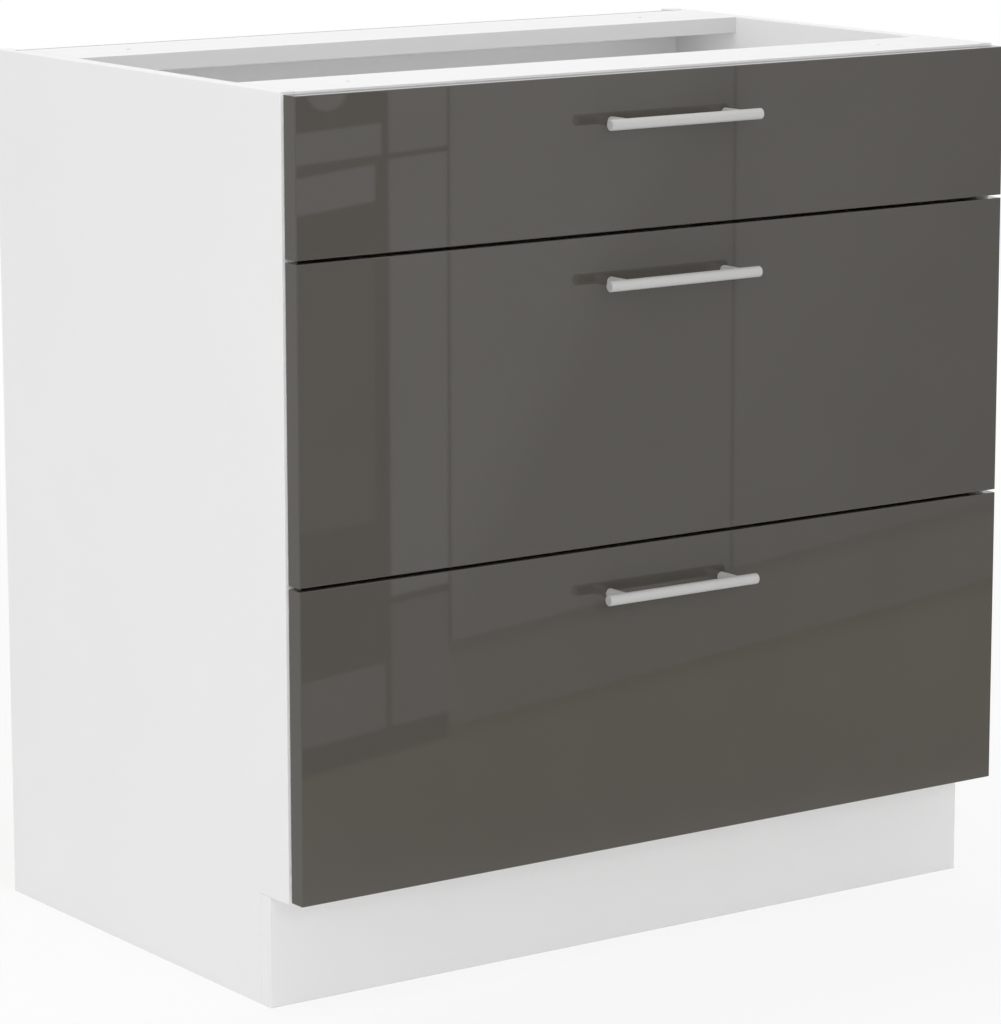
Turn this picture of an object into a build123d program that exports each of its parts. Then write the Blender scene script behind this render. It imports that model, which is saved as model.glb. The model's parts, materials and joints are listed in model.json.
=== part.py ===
from build123d import *
import os
from dataclasses import dataclass

# Kitchen base unit with one shallow and two deep drawers, open on top for a worktop.
# X runs to the right, Y towards the wall and Z up, in millimetres. The origin lies on
# the floor under the middle of the whole footprint, handles included.

# Carcass boards
cabinet_width = 800.0
cabinet_height = 820.0
carcass_depth = 500.0
board = 16.0
edge_radius = 0.8
toe_height = 103.0
toe_setback = 32.0
front_rail_depth = 95.0
rear_rail_depth = 100.0
worktop_hole_radius = 2.5
worktop_hole_spacing = 600.0

# Hardboard back in grooves, with a service void behind it
hardboard = 3.0
service_void = 23.0
groove_depth = 8.0
groove_clearance = 0.2
back_edge_clearance = 0.5

# Knock-down fittings: cam lock, cam bolt and dowel
cam_radius = 7.5
cam_height = 12.4
cam_from_edge = 34.0
bolt_radius = 3.5
bolt_thread_radius = 2.5
bolt_thread_length = 11.0
bolt_neck_radius = 2.0
bolt_neck_length = 4.0
bolt_head_length = 3.0
dowel_radius = 4.0
dowel_length = 30.0
dowel_in_face = 11.0
fitting_clearance = 0.1
bore_end_clearance = 0.5
bolt_channel_clearance = 0.5
fitting_spacing = 36.0
bottom_cam_inset = 50.0

# Drawer fronts
front_thickness = 18.0
front_gap = 2.0
front_reveal = 2.0
front_seam = 3.0
shallow_front_height = 141.0
front_edge_radius = 1.0
bumper_radius = 4.0
bumper_inset = 20.0
bumper_clearance = 0.1

# Bar handles
handle_length = 170.0
handle_radius = 5.0
handle_end_chamfer = 0.6
handle_centres = 128.0
handle_standoff = 26.0
handle_drop = 42.0
post_radius = 4.5
post_thread_depth = 12.0

# Rollers and their axles
roller_radius = 10.0
roller_width = 5.5
roller_edge = 0.6
roller_hub_radius = 4.6
roller_rim = 2.2
roller_recess = 0.8
roll_gap = 0.3
axle_radius = 2.5
axle_running_clearance = 0.05
axle_end_play = 0.1
axle_collar_radius = 4.0
axle_head_radius = 4.5
axle_head_length = 1.2
front_roller_collar = 2.6

# Runner channel on the carcass
sheet = 1.2
bend_radius = 1.2
runner_front_setback = 2.0
runner_rear_gap = 22.0
runner_rise = 20.0
runner_floor_width = 11.0
runner_lip_height = 3.2
runner_roof_width = 9.0
runner_roof_gap = 1.2
runner_mouth = 40.0
runner_hold = 110.0
stop_height = 8.0
stop_gap = 0.5
front_roller_inset = 18.0
rear_roller_inset = 10.0

# Drawer box
side_space = 12.5
side_rise = 3.0
shallow_side_height = 70.0
deep_side_height = 150.0
floor_flange_width = 15.5
side_hem_width = 4.6
side_hem_drop = 8.0
bead_depth = 1.5
bead_height = 46.0
bead_slope = 4.0
bead_margin = 25.0
flange_lip_gap = 0.7
flange_lip_drop = 5.0
flange_rear_gap = 5.0
box_end_gap = 0.5
box_board_gap = 0.3
back_drop = 5.0
bracket_sheet = 1.5
bracket_width = 21.0
bracket_depth = 38.0
bracket_foot_gap = 4.0
bracket_top_gap = 10.0

# Screws and rivets
screw_radius = 1.75
screw_head_radius = 3.5
screw_crown_radius = 2.6
screw_head_height = 2.0
screw_length = 14.0
screw_clearance = 0.1
screw_inset = 14.0
bracket_rivet_radius = 2.0
bracket_rivet_tail = 1.0
handle_screw_radius = 2.0
handle_screw_grip = 10.0
runner_screw_radius = 2.5
runner_screw_head_radius = 4.4
runner_screw_cone_radius = 3.0
runner_screw_length = 11.0
runner_screw_row = 69.0
runner_screw_rear_inset = 63.0
runner_slot_length = 14.0
runner_slot_width = 5.0
runner_slot_pitch = 64.0

# Planes that several pieces share
handle_projection = handle_standoff + handle_radius
overall_depth = carcass_depth + front_gap + front_thickness + handle_projection
carcass_rear = overall_depth / 2
carcass_front = carcass_rear - carcass_depth
front_back = carcass_front - front_gap
front_face = front_back - front_thickness
back_face = carcass_rear - service_void - hardboard
plinth_face = carcass_front + toe_setback
notch_edge = plinth_face + board
left_outer = -cabinet_width / 2
left_inner = left_outer + board
bottom_top = toe_height + board
rail_under = cabinet_height - board

# Runner channel and drawer box, measured inwards from the side panel and up from the channel
runner_length = back_face - carcass_front - runner_front_setback - runner_rear_gap
runner_front = carcass_front + runner_front_setback
runner_rear = runner_front + runner_length
travel = runner_length - runner_hold
axle_rise = sheet + roll_gap + roller_radius
flange_under = axle_rise + roller_radius + roll_gap
runner_height = flange_under + sheet + runner_roof_gap + sheet
front_roller_y = runner_front + front_roller_inset
box_front = front_back + box_end_gap
box_rear = box_front + runner_length
rear_roller_y = box_rear - rear_roller_inset
web_inner = side_space + sheet
bend_inside = bend_radius - sheet / 2
roller_start = sheet + front_roller_collar + axle_end_play
rear_roller_collar = side_space - roller_start - roller_width - axle_end_play
floor_rise = side_rise + sheet
back_rise = floor_rise + board


@dataclass
class Drawer:
    """One drawer: its name, the foot and height of its front, and the height of its steel sides."""
    name: str
    front_foot: float
    front_height: float
    side_height: float

    @property
    def base(self):
        """Height of the underside of its runner channels."""
        return self.front_foot + runner_rise

    @property
    def handle_height(self):
        return self.front_foot + self.front_height - handle_drop


def drawers():
    """The three drawers from the top down: the two deep fronts share what the shallow one leaves."""
    fronts_top = cabinet_height - front_reveal
    fronts_foot = toe_height + front_reveal
    deep_front_height = (fronts_top - fronts_foot - shallow_front_height - 2 * front_seam) / 2
    sizes = {
        "top": (shallow_front_height, shallow_side_height),
        "middle": (deep_front_height, deep_side_height),
        "bottom": (deep_front_height, deep_side_height),
    }
    result = []
    for name, (front_height, side_height) in sizes.items():
        result.append(Drawer(name, fronts_top - front_height, front_height, side_height))
        fronts_top -= front_height + front_seam
    return result


# Helpers

def block(x, y, z):
    """A box between the given pairs of X, Y and Z values."""
    size = [span[1] - span[0] for span in (x, y, z)]
    middle = [(span[0] + span[1]) / 2 for span in (x, y, z)]
    return Pos(*middle) * Box(*size)


def turned(*outline):
    """A solid turned about the X axis from a half outline of (length, radius) points."""
    return revolve(make_face(Polyline(*outline, close=True)), axis=Axis.X)


def bore(radius, start, end):
    """A plain pin along X, or the cutter of a hole."""
    return Pos((start + end) / 2, 0, 0) * Rot(0, 90, 0) * Cylinder(radius, end - start)


def towards_back(section, start, length):
    """A section drawn in X and Z, extruded along Y."""
    return Pos(0, start, 0) * extrude(Plane.XZ * section, amount=-length)


def bent(*points):
    """The section of a bent sheet, from the middle line of the sheet."""
    return trace(FilletPolyline(*points, radius=bend_radius), line_width=sheet)


def mirrored(solids):
    return [mirror(solid, about=Plane.YZ) for solid in solids]


def both_sides(solids):
    return list(solids) + mirrored(solids)


def soften(solid, normal):
    """Round the outline of the two large faces that look along the given axis."""
    faces = solid.faces().sort_by(normal)
    return fillet(faces[0].edges() + faces[-1].edges(), edge_radius)


def save(name, solids):
    """Write one node: a single piece, or a group of separate pieces."""
    pieces = [piece for solid in solids for piece in solid.solids()]
    shape = pieces[0] if len(pieces) == 1 else Compound(pieces)
    export_step(shape, f"parts/{name}.step")


# Knock-down fittings. Each is made along X with the joint face at X = 0: the board whose
# face it meets lies at negative X, and the board that holds the cam at positive X.

def cam_lock():
    """A round cam with a mouth that takes the head of the bolt."""
    drum = Pos(cam_from_edge, 0, (board - cam_height) / 2) * Cylinder(cam_radius, cam_height)
    mouth_half = bolt_radius + fitting_clearance
    mouth_end = cam_from_edge + mouth_half
    mouth = block((0, mouth_end), (-mouth_half, mouth_half), (-mouth_half, mouth_half))
    driver = block((cam_from_edge - 4, cam_from_edge + 4), (-0.6, 0.6), (board / 2 - 1, board / 2))
    return drum - mouth - driver


def cam_bolt():
    """A steel bolt: thread in the face board, shank, neck and head in the cam."""
    shank_end = cam_from_edge - bolt_neck_length - bolt_head_length / 2
    neck_end = shank_end + bolt_neck_length
    head_end = neck_end + bolt_head_length
    return turned(
        (-bolt_thread_length, 0), (-bolt_thread_length, bolt_thread_radius), (0, bolt_thread_radius),
        (0, bolt_radius), (shank_end, bolt_radius), (shank_end, bolt_neck_radius),
        (neck_end, bolt_neck_radius), (neck_end, bolt_radius), (head_end, bolt_radius), (head_end, 0),
    )


def cam_cutter():
    """The bores for one cam and its bolt, in both boards."""
    depth = cam_height + bore_end_clearance
    cup = Pos(cam_from_edge, 0, (board - depth) / 2) * Cylinder(cam_radius + fitting_clearance, depth)
    channel = bore(bolt_radius + bolt_channel_clearance, 0, cam_from_edge)
    thread = bore(bolt_thread_radius + fitting_clearance, -bolt_thread_length - bore_end_clearance, 0)
    return cup + channel + thread


def dowel():
    return bore(dowel_radius, -dowel_in_face, dowel_length - dowel_in_face)


def dowel_cutter():
    start = -dowel_in_face - bore_end_clearance
    end = dowel_length - dowel_in_face + bore_end_clearance
    return bore(dowel_radius + fitting_clearance, start, end)


def end_joint(y, height):
    """Joint of a flat board's left end with the side panel; the cam goes in from below."""
    return Plane(origin=(left_inner, y, height), x_dir=(1, 0, 0), z_dir=(0, 0, -1))


def notch_joint(height):
    """Joint of the plinth's back with the left side panel; the cam goes in from inside."""
    middle = left_outer + board / 2
    return Plane(origin=(middle, notch_edge, height), x_dir=(0, 1, 0), z_dir=(1, 0, 0))


def carcass_joints():
    """Planes of the cams and of the dowels on the left of the unit, by the board that they hold."""
    half = fitting_spacing / 2
    bottom_middle = toe_height + board / 2
    rail_middle = rail_under + board / 2
    front_rail_y = carcass_front + front_rail_depth / 2
    rear_rail_y = back_face - rear_rail_depth / 2
    bottom_y = (carcass_front + back_face) / 2
    cams = {
        "bottom": [end_joint(carcass_front + bottom_cam_inset, bottom_middle),
                   end_joint(back_face - bottom_cam_inset, bottom_middle)],
        "front_rail": [end_joint(front_rail_y - half, rail_middle)],
        "rear_rail": [end_joint(rear_rail_y + half, rail_middle)],
        "plinth": [notch_joint(toe_height / 2)],
    }
    dowels = {
        "bottom": [end_joint(bottom_y - fitting_spacing, bottom_middle),
                   end_joint(bottom_y + fitting_spacing, bottom_middle)],
        "front_rail": [end_joint(front_rail_y + half, rail_middle)],
        "rear_rail": [end_joint(rear_rail_y - half, rail_middle)],
        "plinth": [notch_joint(toe_height / 2 - half), notch_joint(toe_height / 2 + half)],
    }
    return cams, dowels


def joint_cutters(cams, dowels, boards):
    """The bores that the given boards share with the left side panel."""
    cuts = [plane * cam_cutter() for name in boards for plane in cams[name]]
    return cuts + [plane * dowel_cutter() for name in boards for plane in dowels[name]]


# Carcass

def left_side_panel(cutters):
    """Side panel with its toe-kick notch, back groove and bores."""
    outline = make_face(Polyline(
        (carcass_front, toe_height), (carcass_front, cabinet_height), (carcass_rear, cabinet_height),
        (carcass_rear, 0), (notch_edge, 0), (notch_edge, toe_height), close=True,
    ))
    panel = Pos(left_outer, 0, 0) * extrude(Plane.YZ * outline, amount=board)
    panel = soften(panel, Axis.X)
    groove = block(
        (left_inner - groove_depth, left_inner + 1),
        (back_face - groove_clearance, back_face + hardboard + groove_clearance),
        (-1, cabinet_height + 1),
    )
    return panel - [groove, *cutters]


def flat_board(y, z, cutters):
    """A board between the side panels with softened long edges and the bores of its fittings."""
    plain = block((left_inner, -left_inner), y, z)
    plain = fillet(plain.edges().filter_by(Axis.X), edge_radius)
    return plain - both_sides(cutters)


def worktop_holes(y):
    """Screw holes through a top rail for fixing a worktop from below."""
    offset_x = worktop_hole_spacing / 2
    hole = Pos(-offset_x, y, rail_under + board / 2) * Cylinder(worktop_hole_radius, 2 * board)
    return both_sides([hole])


def plinth_board(cutters):
    plain = block((left_outer, -left_outer), (plinth_face, notch_edge), (0, toe_height))
    return soften(plain, Axis.Y) - both_sides(cutters)


def back_panel():
    half = -left_inner + groove_depth - back_edge_clearance
    return block((-half, half), (back_face, back_face + hardboard), (toe_height, cabinet_height))


# Runner channels and rollers, made for the left and mirrored

def runner_screw():
    """A flush countersunk screw along X, its head at the inner face of the channel."""
    tip = -runner_screw_length
    return turned(
        (tip, 0), (tip, runner_screw_radius), (0, runner_screw_radius),
        (0, runner_screw_cone_radius), (sheet, runner_screw_head_radius), (sheet, 0),
    )


def runner_screw_cutter():
    cone_radius = runner_screw_cone_radius + screw_clearance
    head_radius = runner_screw_head_radius + screw_clearance
    tip = -runner_screw_length - bore_end_clearance
    shank_radius = runner_screw_radius + screw_clearance
    return turned(
        (tip, 0), (tip, shank_radius), (0, shank_radius),
        (0, cone_radius), (sheet, head_radius), (sheet, 0),
    )


def runner_screw_places(base):
    """Places of the screws of one left runner channel."""
    height = base + runner_height / 2
    rows = (carcass_front + runner_screw_row, runner_rear - runner_screw_rear_inset)
    return [Pos(left_inner, y, height) for y in rows]


def runner_slots(base):
    """Slots in the web of a left channel, spaced along it between its two screws, for adjustment."""
    first, last = (place.position.Y for place in runner_screw_places(base))
    count = int((last - first) / runner_slot_pitch) - 1
    outline = SlotOverall(runner_slot_length, runner_slot_width)
    slot = Plane.YZ * extrude(outline, amount=2 * sheet, both=True)
    middle = Pos(left_inner, (first + last) / 2, base + runner_height / 2)
    spread = [(step - (count - 1) / 2) * runner_slot_pitch for step in range(count)]
    return [middle * Pos(0, offset_y, 0) * slot for offset_y in spread]


def left_runner(base):
    """Bent channel: a web on the side panel, a lipped floor for the rear roller and a roof."""
    half = sheet / 2

    def at(inward, rise):
        return (left_inner + inward, base + rise)

    section = bent(
        at(runner_floor_width - half, runner_lip_height), at(runner_floor_width - half, half),
        at(half, half), at(half, runner_height - half), at(runner_roof_width, runner_height - half),
    )
    channel = towards_back(section, runner_front, runner_length)
    mouth = block(
        (left_inner + sheet, left_inner + runner_roof_width + 1),
        (runner_front - 1, runner_front + runner_mouth),
        (base + axle_rise, base + runner_height + 1),
    )
    stop_rear = rear_roller_y - travel - roller_radius - stop_gap
    stop = block(
        (left_inner + roller_start, left_inner + roller_start + roller_width),
        (stop_rear - sheet, stop_rear),
        (base + half, base + stop_height),
    )
    axle_hole = Pos(left_inner, front_roller_y, base + axle_rise)
    cutters = [axle_hole * bore(axle_radius + fitting_clearance, -1, sheet + 1)]
    cutters += [place * runner_screw_cutter() for place in runner_screw_places(base)]
    return channel - mouth + stop - cutters - runner_slots(base)


def axle(collar):
    """A riveted axle along X: tail in the sheet, collar, journal for the roller, head."""
    collar_end = sheet + collar
    journal_end = collar_end + roller_width + 2 * axle_end_play
    head_end = journal_end + axle_head_length
    return turned(
        (0, 0), (0, axle_radius), (sheet, axle_radius), (sheet, axle_collar_radius),
        (collar_end, axle_collar_radius), (collar_end, axle_radius), (journal_end, axle_radius),
        (journal_end, axle_head_radius), (head_end, axle_head_radius), (head_end, 0),
    )


def roller():
    """A nylon roller along X: hub and rim stand proud of a dished web."""
    bore_radius = axle_radius + axle_running_clearance
    rim_inner = roller_radius - roller_rim
    tread = roller_radius - roller_edge
    far_dish = roller_width - roller_recess
    return turned(
        (0, bore_radius), (0, roller_hub_radius), (roller_recess, roller_hub_radius),
        (roller_recess, rim_inner), (0, rim_inner), (0, tread), (roller_edge, roller_radius),
        (roller_width - roller_edge, roller_radius), (roller_width, tread), (roller_width, rim_inner),
        (far_dish, rim_inner), (far_dish, roller_hub_radius), (roller_width, roller_hub_radius),
        (roller_width, bore_radius),
    )


def left_roller(y, base):
    return Pos(left_inner + roller_start, y, base + axle_rise) * roller()


def left_front_axle(base):
    return Pos(left_inner, front_roller_y, base + axle_rise) * axle(front_roller_collar)


def left_rear_axle(base):
    """The axle of a rear roller points outwards from the drawer side."""
    place = Pos(left_inner + web_inner, rear_roller_y, base + axle_rise)
    return place * Rot(0, 0, 180) * axle(rear_roller_collar)


# Drawers

def drawer_front(drawer, cutters):
    """Front with a softened arris and the bores of its handle and brackets."""
    half = -left_outer - front_reveal
    top = drawer.front_foot + drawer.front_height
    plain = block((-half, half), (front_face, front_back), (drawer.front_foot, top))
    face = plain.faces().sort_by(Axis.Y)[0]
    return fillet(face.edges(), front_edge_radius) - both_sides(cutters)


def handle_bar(drawer):
    half = handle_length / 2
    end_radius = handle_radius - handle_end_chamfer
    bar = turned(
        (-half, 0), (-half, end_radius), (handle_end_chamfer - half, handle_radius),
        (half - handle_end_chamfer, handle_radius), (half, end_radius), (half, 0),
    )
    return Pos(0, front_face - handle_standoff, drawer.handle_height) * bar


def post_place(drawer, y):
    """Place on the axis of the left handle post, with X turned to point at the front of the unit."""
    return Pos(-handle_centres / 2, y, drawer.handle_height) * Rot(0, 0, -90)


def left_handle_post(drawer):
    """Post from the front to the bar, saddled to the bar and bored for its screw."""
    post = bore(post_radius, 0, handle_standoff)
    saddle = Pos(handle_standoff, 0, 0) * Rot(90, 0, 0) * Cylinder(handle_radius, 4 * post_radius)
    thread = bore(handle_screw_radius + screw_clearance, -1, post_thread_depth)
    return post_place(drawer, front_face) * (post - saddle - thread)


def pan_screw(radius, length):
    """A screw along X with a crowned head on the negative side of X = 0."""
    return turned(
        (-screw_head_height, 0), (-screw_head_height, screw_crown_radius), (0, screw_head_radius),
        (0, radius), (length, radius), (length, 0),
    )


def left_handle_screw(drawer):
    return post_place(drawer, front_back) * pan_screw(handle_screw_radius, front_thickness + handle_screw_grip)


def left_handle_bore(drawer):
    radius = handle_screw_radius + screw_clearance
    return post_place(drawer, front_back) * bore(radius, -1, front_thickness + 1)


def bead_rises(drawer):
    """Heights of the stiffening bead of a deep side above its channel, or none on a shallow side."""
    foot = (back_rise + drawer.side_height - bead_height) / 2
    return (foot, foot + bead_height) if foot > back_rise + bead_margin else None


def left_drawer_side(drawer, cutters):
    """Bent steel side: floor flange, web and hem, with the lipped flange that runs on the rollers."""
    half = sheet / 2

    def at(inward, rise):
        return (left_inner + inward, drawer.base + rise)

    web = side_space + half
    hem = web - side_hem_width
    hem_height = drawer.side_height - half
    bead = []
    if bead_rises(drawer):
        low, high = bead_rises(drawer)
        pressed = web - bead_depth
        bead = [at(web, low), at(pressed, low + bead_slope), at(pressed, high - bead_slope), at(web, high)]
    wall = bent(
        at(web + floor_flange_width, side_rise + half), at(web, side_rise + half), *bead,
        at(web, hem_height), at(hem, hem_height), at(hem, hem_height - side_hem_drop),
    )
    lip = sheet + flange_lip_gap + half
    flange_height = flange_under + half
    flange = bent(at(web, flange_height), at(lip, flange_height), at(lip, flange_height - flange_lip_drop))
    flange_rear = rear_roller_y - roller_radius - flange_rear_gap
    side = towards_back(wall, box_front, runner_length)
    side += towards_back(flange, box_front, flange_rear - box_front)
    return side - cutters


def drawer_floor(drawer, cutters):
    """Floor board on the flanges of the steel sides, clear of the bends beside it."""
    half = -left_inner - web_inner - bend_inside - box_board_gap
    heights = (drawer.base + floor_rise, drawer.base + back_rise)
    return block((-half, half), (front_back, box_rear), heights) - both_sides(cutters)


def drawer_back(drawer, cutters):
    half = -left_inner - web_inner - box_board_gap
    heights = (drawer.base + back_rise, drawer.base + drawer.side_height - back_drop)
    return block((-half, half), (box_rear - board, box_rear), heights) - both_sides(cutters)


def left_bracket(drawer, cutters):
    """Angle bracket between the drawer front and the inside of the steel side."""
    half = bracket_sheet / 2
    inner = left_inner + web_inner + half
    face = front_back + half
    angle = FilletPolyline(
        (inner + bracket_width, face), (inner, face), (inner, face + bracket_depth), radius=bend_radius,
    )
    foot = drawer.base + back_rise + bracket_foot_gap
    height = drawer.base + drawer.side_height - bracket_top_gap - foot
    return Pos(0, 0, foot) * extrude(trace(angle, line_width=bracket_sheet), amount=height) - cutters


def left_screw_places(drawer):
    """Places of the left screws of one drawer, by what they hold; X points along the screw."""
    low = drawer.base + back_rise + screw_inset
    high = drawer.base + drawer.side_height - screw_inset - bracket_top_gap / 2
    bracket_x = left_inner + web_inner + bracket_width - screw_inset / 2
    flange_x = left_inner + side_space + floor_flange_width / 2 + sheet
    flange_z = drawer.base + side_rise
    face = front_back + bracket_sheet
    floor_rows = (box_front + bracket_depth, box_rear - 2 * board)
    return {
        "front": [Pos(bracket_x, face, z) * Rot(0, 0, -90) for z in (low, high)],
        "back": [Pos(left_inner + side_space, box_rear - board / 2, z) for z in (low, high)],
        "floor": [Pos(flange_x, y, flange_z) * Rot(0, -90, 0) for y in floor_rows],
        "bracket": [Pos(left_inner + web_inner + bracket_sheet, front_back + bracket_depth / 2, z)
                    * Rot(0, 0, 180) for z in (low, high)],
    }


def bumpers(drawer):
    """Soft pads behind the corners of the front, in its gap to the carcass."""
    thickness = front_gap - bumper_clearance
    top = drawer.front_foot + drawer.front_height
    heights = (drawer.front_foot + bumper_inset, top - bumper_inset)
    pad = Rot(0, 0, 90) * bore(bumper_radius, 0, thickness)
    return both_sides([Pos(left_outer + board / 2, front_back, z) * pad for z in heights])


def build_drawer(drawer):
    """All nodes that belong to one drawer and its rollers."""
    places = left_screw_places(drawer)
    screw = pan_screw(screw_radius, screw_length)
    rivet_length = bracket_sheet + sheet + bracket_rivet_tail
    rivet = pan_screw(bracket_rivet_radius, rivet_length)
    hole = bore(screw_radius + screw_clearance, -bore_end_clearance, screw_length + bore_end_clearance)
    rivet_hole = bore(bracket_rivet_radius + screw_clearance, -1, rivet_length + 1)
    holes = {use: [place * hole for place in places[use]] for use in ("front", "back", "floor")}
    rivet_holes = [place * rivet_hole for place in places["bracket"]]
    axle_place = Pos(left_inner + web_inner, rear_roller_y, drawer.base + axle_rise)
    axle_hole = axle_place * bore(axle_radius + fitting_clearance, -2 * sheet, sheet)

    name = f"{drawer.name}_drawer"
    save(f"{name}_front", [drawer_front(drawer, holes["front"] + [left_handle_bore(drawer)])])
    save(f"{name}_handle_bar", [handle_bar(drawer)])
    save(f"{name}_handle_posts", both_sides([left_handle_post(drawer)]))
    save(f"{name}_handle_screws", both_sides([left_handle_screw(drawer)]))

    side = left_drawer_side(drawer, holes["back"] + holes["floor"] + rivet_holes + [axle_hole])
    save(f"{name}_left_side", [side])
    save(f"{name}_right_side", mirrored([side]))
    save(f"{name}_floor", [drawer_floor(drawer, holes["floor"])])
    save(f"{name}_back", [drawer_back(drawer, holes["back"])])
    bracket = left_bracket(drawer, holes["front"] + rivet_holes)
    save(f"{name}_front_brackets", both_sides([bracket]))

    fasteners = [place * screw for use in holes for place in places[use]]
    fasteners += [place * rivet for place in places["bracket"]]
    save(f"{name}_screws", both_sides(fasteners))
    save(f"{name}_bumpers", bumpers(drawer))
    save(f"{name}_rear_roller_axles", both_sides([left_rear_axle(drawer.base)]))
    save(f"{name}_rear_rollers", both_sides([left_roller(rear_roller_y, drawer.base)]))
    save(f"{name}_front_rollers", both_sides([left_roller(front_roller_y, drawer.base)]))

    runner = left_runner(drawer.base)
    save(f"{drawer.name}_runner_left", [runner])
    save(f"{drawer.name}_runner_right", mirrored([runner]))


def build_carcass(levels):
    """All nodes of the carcass apart from the runner channels."""
    cams, dowels = carcass_joints()
    bases = [drawer.base for drawer in levels]
    screw_places = [place for base in bases for place in runner_screw_places(base)]
    side_cuts = joint_cutters(cams, dowels, cams)
    side_cuts += [place * runner_screw_cutter() for place in screw_places]
    side = left_side_panel(side_cuts)
    save("left_side_panel", [side])
    save("right_side_panel", mirrored([side]))

    bottom_cuts = joint_cutters(cams, dowels, ["bottom"])
    save("bottom_panel", [flat_board((carcass_front, back_face), (toe_height, bottom_top), bottom_cuts)])

    rails = {
        "front_rail": (carcass_front, carcass_front + front_rail_depth),
        "rear_rail": (back_face - rear_rail_depth, back_face),
    }
    for name, depth in rails.items():
        rail = flat_board(depth, (rail_under, cabinet_height), joint_cutters(cams, dowels, [name]))
        save(name.replace("rail", "top_rail"), [rail - worktop_holes(sum(depth) / 2)])

    save("plinth_board", [plinth_board(joint_cutters(cams, dowels, ["plinth"]))])
    save("back_panel", [back_panel()])
    save("cam_locks", both_sides([plane * cam_lock() for planes in cams.values() for plane in planes]))
    save("cam_bolts", both_sides([plane * cam_bolt() for planes in cams.values() for plane in planes]))
    save("dowels", both_sides([plane * dowel() for planes in dowels.values() for plane in planes]))
    save("runner_screws", both_sides([place * runner_screw() for place in screw_places]))
    save("front_roller_axles", both_sides([left_front_axle(base) for base in bases]))


os.makedirs("parts", exist_ok=True)
levels = drawers()
build_carcass(levels)
for drawer in levels:
    build_drawer(drawer)
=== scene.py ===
# %% [markdown]
# A kitchen base unit with three drawers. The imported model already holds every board, runner and
# screw at its true size, in metres, so this lesson only adds what the eye needs: finishes, rounder
# handles, screw heads with a cross recess, nails, a floor, light and a camera. We load the model
# first and keep its box, because nothing that we add may make the unit bigger. White boards hand
# light on to each other many times, so we also allow more bounces of light than usual.

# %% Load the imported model
import json
import math

import bmesh
import bpy
import numpy as np
from mathutils import Matrix, Vector


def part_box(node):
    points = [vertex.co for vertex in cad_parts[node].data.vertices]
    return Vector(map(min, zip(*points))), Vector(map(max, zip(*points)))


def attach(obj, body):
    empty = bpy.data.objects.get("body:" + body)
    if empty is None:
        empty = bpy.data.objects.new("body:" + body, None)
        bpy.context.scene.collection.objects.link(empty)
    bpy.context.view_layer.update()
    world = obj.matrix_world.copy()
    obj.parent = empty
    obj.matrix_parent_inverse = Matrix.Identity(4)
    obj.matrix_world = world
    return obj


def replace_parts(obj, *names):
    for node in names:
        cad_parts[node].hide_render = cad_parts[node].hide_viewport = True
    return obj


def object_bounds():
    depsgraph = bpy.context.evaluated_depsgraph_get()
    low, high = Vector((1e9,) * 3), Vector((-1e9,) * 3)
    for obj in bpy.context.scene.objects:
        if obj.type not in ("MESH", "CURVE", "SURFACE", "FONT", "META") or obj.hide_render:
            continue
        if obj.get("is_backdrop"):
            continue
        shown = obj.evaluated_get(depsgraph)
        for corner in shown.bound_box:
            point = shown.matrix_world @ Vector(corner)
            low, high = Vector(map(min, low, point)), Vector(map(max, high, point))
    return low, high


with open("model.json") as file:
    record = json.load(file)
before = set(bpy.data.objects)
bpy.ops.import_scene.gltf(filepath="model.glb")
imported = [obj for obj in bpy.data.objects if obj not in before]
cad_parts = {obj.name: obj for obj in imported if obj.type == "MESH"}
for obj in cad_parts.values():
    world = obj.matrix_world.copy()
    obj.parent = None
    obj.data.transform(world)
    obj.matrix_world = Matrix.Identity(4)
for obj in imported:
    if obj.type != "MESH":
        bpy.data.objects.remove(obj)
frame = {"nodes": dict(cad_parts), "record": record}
cad_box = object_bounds()
nodes = frame["nodes"]
scene = bpy.context.scene
scene.view_settings.view_transform = "Standard"
scene.cycles.diffuse_bounces = 12

# %% [markdown]
# A finish is a small tree of shader nodes. We could click each tree together by hand, but one
# helper that adds a node, sets it and links it keeps every finish short enough to read. Colours
# are picked as sRGB hex values, as on a colour card, and turned to the linear values that a
# renderer counts in. A pattern gets its scale from a real size in millimetres.

# %% Colours and nodes


def linear(code):
    """Turn an sRGB hex code into linear red, green, blue and alpha."""
    channels = np.array([int(code[i:i + 2], 16) for i in (1, 3, 5)]) / 255
    low = channels / 12.92
    high = ((channels + 0.055) / 1.055) ** 2.4
    return (*np.where(channels <= 0.04045, low, high).tolist(), 1.0)


def per(millimetres):
    """Texture scale at which one feature of a pattern is about this wide."""
    return 1000 / millimetres


def add(finish, kind, inputs, **settings):
    """Add one node: settings are its properties, inputs are socket values or sockets to link from."""
    tree = finish.node_tree
    made = tree.nodes.new("ShaderNode" + kind)
    for name, value in settings.items():
        setattr(made, name, value)
    for socket, value in inputs.items():
        if isinstance(value, bpy.types.NodeSocket):
            tree.links.new(value, made.inputs[socket])
        else:
            made.inputs[socket].default_value = value
    return made


def new_finish(name):
    """An empty material, and the node that gives it the object's own coordinates and normals."""
    finish = bpy.data.materials.new(name)
    finish.use_nodes = True
    finish.node_tree.nodes.clear()
    return finish, add(finish, "TexCoord", {})


def close_finish(finish, shader):
    """Link the last shader of a finish to its output, and hand the finish back."""
    add(finish, "OutputMaterial", {"Surface": shader})
    return finish


# Sockets of a Mix node: two colours and the mixed colour, or two plain values.
MIX_A, MIX_B, MIX_COLOUR = 6, 7, 2
VALUE_A, VALUE_B = 2, 3
# A face looks along an axis where its normal has more than this share of it.
FACING = 0.7
print("white card", [round(v, 3) for v in linear("#FFFFFF")[:3]])

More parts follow.
